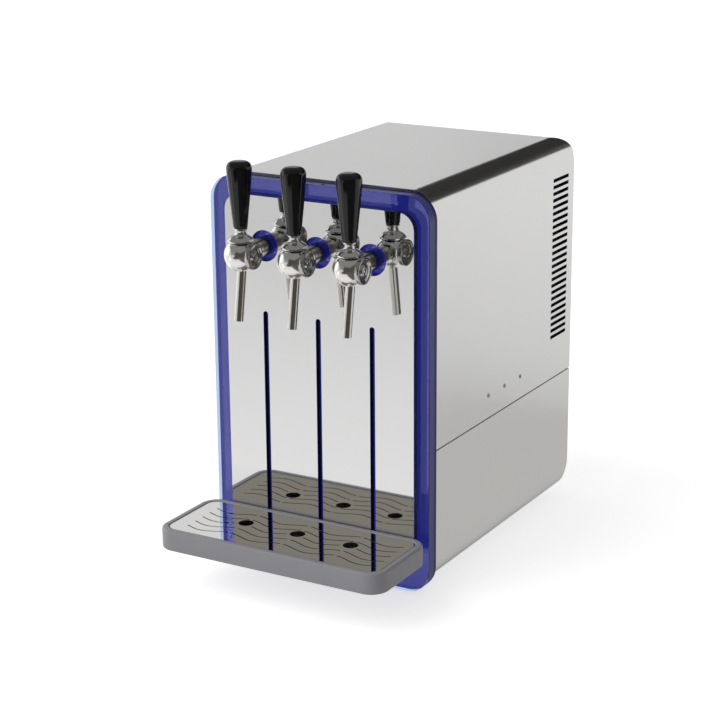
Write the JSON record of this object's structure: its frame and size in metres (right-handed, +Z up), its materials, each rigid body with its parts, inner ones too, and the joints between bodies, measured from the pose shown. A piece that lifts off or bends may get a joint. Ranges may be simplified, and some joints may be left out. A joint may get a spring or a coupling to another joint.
{
  "type": "counter beer cooler",
  "caption": "Counter-top beverage cooler: sheet metal case, clear front panel with mirror plate, ball taps with levers and a height-adjustable drip tray.",
  "frame": {"origin": "on the counter, under the middle of the bounding box", "axes": "+Z up, +Y to the rear, +X to the right as seen by the person who pours"},
  "size_m": [0.33, 0.62, 0.5562],
  "materials": {
    "brushed_case": "satin",
    "galvanised": "dull zinc",
    "mirror_steel": "mirror polished",
    "black_plate": "gloss",
    "clear_acrylic": "polished",
    "blue_film": "gloss",
    "black_rubber": "matt",
    "screw_steel": "plain",
    "brushed_tap": "brushed",
    "chrome": "polished",
    "brass": "plain",
    "black_handle": "gloss",
    "grey_plastic": "satin",
    "black_plastic": "satin",
    "white_plastic": "satin",
    "aluminium": "milled",
    "foam": "foam",
    "tube_steel": "drawn",
    "black_paint": "semi gloss",
    "motor_paint": "matt",
    "copper": "drawn copper",
    "rocker_red": "gloss"
  },
  "bodies": {
    "cabinet": {"hood": "brushed_case", "base_tub": "brushed_case", "rear_panel": "galvanised", "deck_plate": "galvanised", "front_bulkhead": "galvanised", "cover_screws": "screw_steel", "feet": "black_rubber", "clear_panel": "clear_acrylic", "blue_film": "blue_film", "panel_gasket": "black_rubber", "mirror_plate": "mirror_steel", "backing_plate": "black_plate", "panel_screw": "screw_steel", "shank_left": "brushed_tap", "shank_middle": "brushed_tap", "shank_right": "brushed_tap", "shank_nut_left": "brass", "shank_nut_middle": "brass", "shank_nut_right": "brass", "tap_body_left": "brushed_tap", "tap_body_middle": "brushed_tap", "tap_body_right": "brushed_tap", "spout_left": "brushed_tap", "spout_middle": "brushed_tap", "spout_right": "brushed_tap", "cooling_block": "aluminium", "block_insulation": "foam", "beer_lines": "tube_steel", "beer_inlets": "tube_steel", "compressor": "black_paint", "compressor_mounts": "black_rubber", "condenser": "aluminium", "fan_shroud": "black_plastic", "fan_motor": "motor_paint", "refrigerant_pipe": "copper", "filter_drier": "copper", "thermostat": "white_plastic", "switch_body": "black_plastic", "mains_inlet": "black_plastic"},
    "lever_left": {"lever_left": "chrome", "handle_left": "black_handle"},
    "plunger_left": {"plunger_left": "tube_steel"},
    "flow_knob_left": {"flow_knob_left": "chrome"},
    "lever_middle": {"lever_middle": "chrome", "handle_middle": "black_handle"},
    "plunger_middle": {"plunger_middle": "tube_steel"},
    "flow_knob_middle": {"flow_knob_middle": "chrome"},
    "lever_right": {"lever_right": "chrome", "handle_right": "black_handle"},
    "plunger_right": {"plunger_right": "tube_steel"},
    "flow_knob_right": {"flow_knob_right": "chrome"},
    "tray": {"drip_tray": "grey_plastic", "tray_studs": "screw_steel"},
    "grille": {"drip_grille": "mirror_steel"},
    "fan": {"fan_blades": "black_plastic"},
    "dial": {"thermostat_knob": "black_plastic"},
    "rocker": {"switch_rocker": "rocker_red"}
  },
  "joints": [
    {"name": "lever_left_tilt", "type": "hinge", "parent": "cabinet", "child": "lever_left", "pos_m": [-0.0725, -0.233, 0.4375], "axis": [1, 0, 0], "range_deg": [-12, 30]},
    {"name": "plunger_left_slide", "type": "slide", "parent": "cabinet", "child": "plunger_left", "axis": [0, 1, 0], "range_m": [-0.0011, 0.0026]},
    {"name": "flow_knob_left_turn", "type": "hinge", "parent": "cabinet", "child": "flow_knob_left", "pos_m": [-0.0545, -0.233, 0.4375], "axis": [1, 0, 0], "range_deg": [-45, 45]},
    {"name": "lever_middle_tilt", "type": "hinge", "parent": "cabinet", "child": "lever_middle", "pos_m": [0.0055, -0.233, 0.4375], "axis": [1, 0, 0], "range_deg": [-12, 30]},
    {"name": "plunger_middle_slide", "type": "slide", "parent": "cabinet", "child": "plunger_middle", "axis": [0, 1, 0], "range_m": [-0.0011, 0.0026]},
    {"name": "flow_knob_middle_turn", "type": "hinge", "parent": "cabinet", "child": "flow_knob_middle", "pos_m": [0.0235, -0.233, 0.4375], "axis": [1, 0, 0], "range_deg": [-45, 45]},
    {"name": "lever_right_tilt", "type": "hinge", "parent": "cabinet", "child": "lever_right", "pos_m": [0.0835, -0.233, 0.4375], "axis": [1, 0, 0], "range_deg": [-12, 30]},
    {"name": "plunger_right_slide", "type": "slide", "parent": "cabinet", "child": "plunger_right", "axis": [0, 1, 0], "range_m": [-0.0011, 0.0026]},
    {"name": "flow_knob_right_turn", "type": "hinge", "parent": "cabinet", "child": "flow_knob_right", "pos_m": [0.1015, -0.233, 0.4375], "axis": [1, 0, 0], "range_deg": [-45, 45]},
    {"name": "tray_height", "type": "slide", "parent": "cabinet", "child": "tray", "axis": [0, 0, 1], "range_m": [0, 0.15]},
    {"name": "grille_lift", "type": "slide", "parent": "tray", "child": "grille", "axis": [0, 0, 1], "range_m": [0, 0.06]},
    {"name": "fan_spin", "type": "hinge", "parent": "cabinet", "child": "fan", "pos_m": [0, 0.2297, 0.28105], "axis": [0, 1, 0], "continuous": true},
    {"name": "dial_turn", "type": "hinge", "parent": "cabinet", "child": "dial", "pos_m": [0.0355, 0.286, 0.135], "axis": [0, 1, 0], "range_deg": [-135, 135]},
    {"name": "rocker_tip", "type": "hinge", "parent": "cabinet", "child": "rocker", "pos_m": [0.0905, 0.28, 0.148], "axis": [1, 0, 0], "range_deg": [-9, 9]}
  ],
  "couplings": [
    {"joint": "plunger_left_slide", "follows": "lever_left_tilt", "m_per_rad": 0.0046},
    {"joint": "plunger_middle_slide", "follows": "lever_middle_tilt", "m_per_rad": 0.0046},
    {"joint": "plunger_right_slide", "follows": "lever_right_tilt", "m_per_rad": 0.0046}
  ]
}
